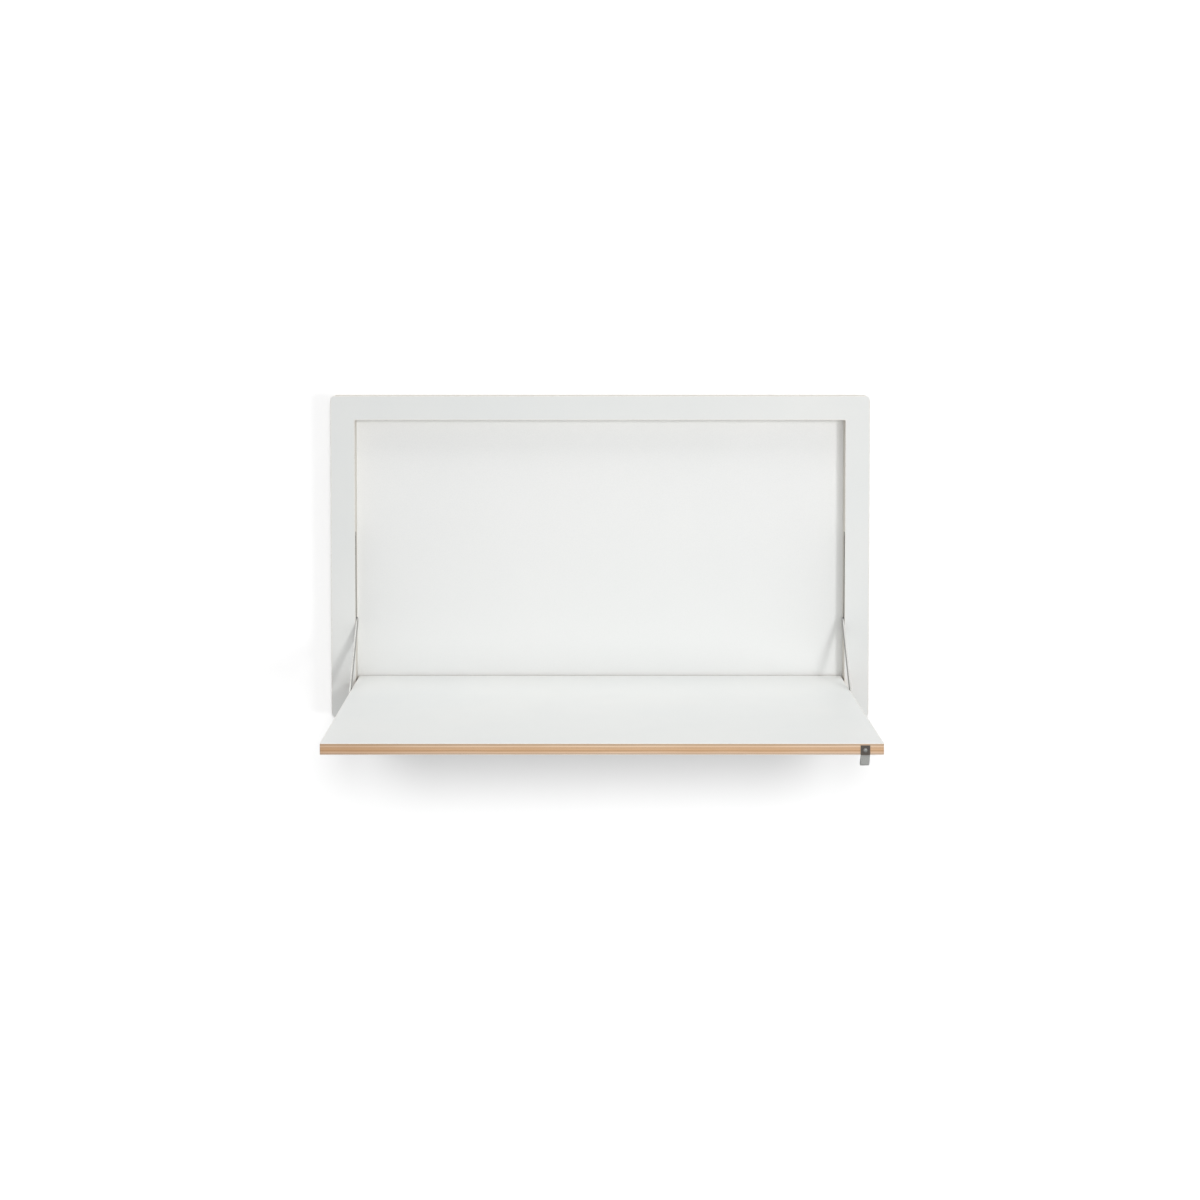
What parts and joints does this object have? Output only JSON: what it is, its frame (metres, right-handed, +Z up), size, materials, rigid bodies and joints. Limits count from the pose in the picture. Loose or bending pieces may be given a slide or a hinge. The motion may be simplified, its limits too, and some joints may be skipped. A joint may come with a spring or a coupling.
{
  "type": "fold down wall desk",
  "caption": "Shallow wall-hung desk: a white laminated plywood frame around a recess, with a writing flap that folds down on side pivots and rests level on sliding steel stays.",
  "frame": {"origin": "in the wall plane, midway between the two keyhole hangers, 160 mm above the middle of the frame", "axes": "+X to the right of someone facing the desk, +Y from the room to the wall, +Z up"},
  "size_m": [0.8, 0.4104, 0.48],
  "materials": {
    "white_laminate": "satin",
    "birch_plywood": "clear lacquer",
    "white_board": "satin",
    "plated_steel": "nickel plated",
    "black_rail": "anodised",
    "grey_nylon": "moulded",
    "brass": "turned",
    "grey_ribbon": "woven",
    "dark_patch": "woven"
  },
  "bodies": {
    "frame": {"front_frame_core": "white_board", "front_frame_face": "white_laminate", "front_frame_backing": "white_laminate", "rear_top_strip": "white_board", "rear_bottom_strip": "white_board", "rear_left_strip": "white_board", "rear_right_strip": "white_board", "back_panel": "white_board", "panel_staples": "plated_steel", "hanger_plates": "plated_steel", "hanger_screws": "plated_steel", "left_guide_rail": "black_rail", "right_guide_rail": "black_rail", "rail_end_plugs": "grey_nylon", "pivot_bolts": "plated_steel", "frame_magnets": "plated_steel"},
    "flap": {"flap_core": "birch_plywood", "flap_top_laminate": "white_laminate", "flap_under_laminate": "white_laminate", "flap_bushes": "grey_nylon", "flap_magnets": "plated_steel", "stay_inserts": "brass", "stay_pivot_screws": "plated_steel", "stay_washers": "plated_steel", "tab_ribbon": "grey_ribbon", "tab_patch": "dark_patch", "tab_screw": "plated_steel"},
    "left_stay": {"left_stay_bar": "plated_steel", "left_stay_rivet": "plated_steel"},
    "left_shoe": {"left_slide_shoe": "grey_nylon"},
    "right_stay": {"right_stay_bar": "plated_steel", "right_stay_rivet": "plated_steel"},
    "right_shoe": {"right_slide_shoe": "grey_nylon"}
  },
  "joints": [
    {"name": "flap_fold", "type": "hinge", "parent": "frame", "child": "flap", "pos_m": [0, -0.01804, -0.34916], "axis": [-1, 0, 0], "range_deg": [0, 90]},
    {"name": "left_stay_pivot", "type": "hinge", "parent": "flap", "child": "left_stay", "pos_m": [-0.3625, -0.10404, -0.34916], "axis": [1, 0, 0], "range_deg": [0, 133.07]},
    {"name": "left_shoe_slide", "type": "slide", "parent": "frame", "child": "left_shoe", "axis": [0, 0, 1], "range_m": [0, 0.11994]},
    {"name": "right_stay_pivot", "type": "hinge", "parent": "flap", "child": "right_stay", "pos_m": [0.3625, -0.10404, -0.34916], "axis": [1, 0, 0], "range_deg": [0, 133.07]},
    {"name": "right_shoe_slide", "type": "slide", "parent": "frame", "child": "right_shoe", "axis": [0, 0, 1], "range_m": [0, 0.11994]}
  ],
  "couplings": [
    {"joint": "left_stay_pivot", "follows": "flap_fold", "ratio": 1.4785},
    {"joint": "left_shoe_slide", "follows": "flap_fold", "m_per_rad": 0.076354},
    {"joint": "right_stay_pivot", "follows": "flap_fold", "ratio": 1.4785},
    {"joint": "right_shoe_slide", "follows": "flap_fold", "m_per_rad": 0.076354}
  ]
}
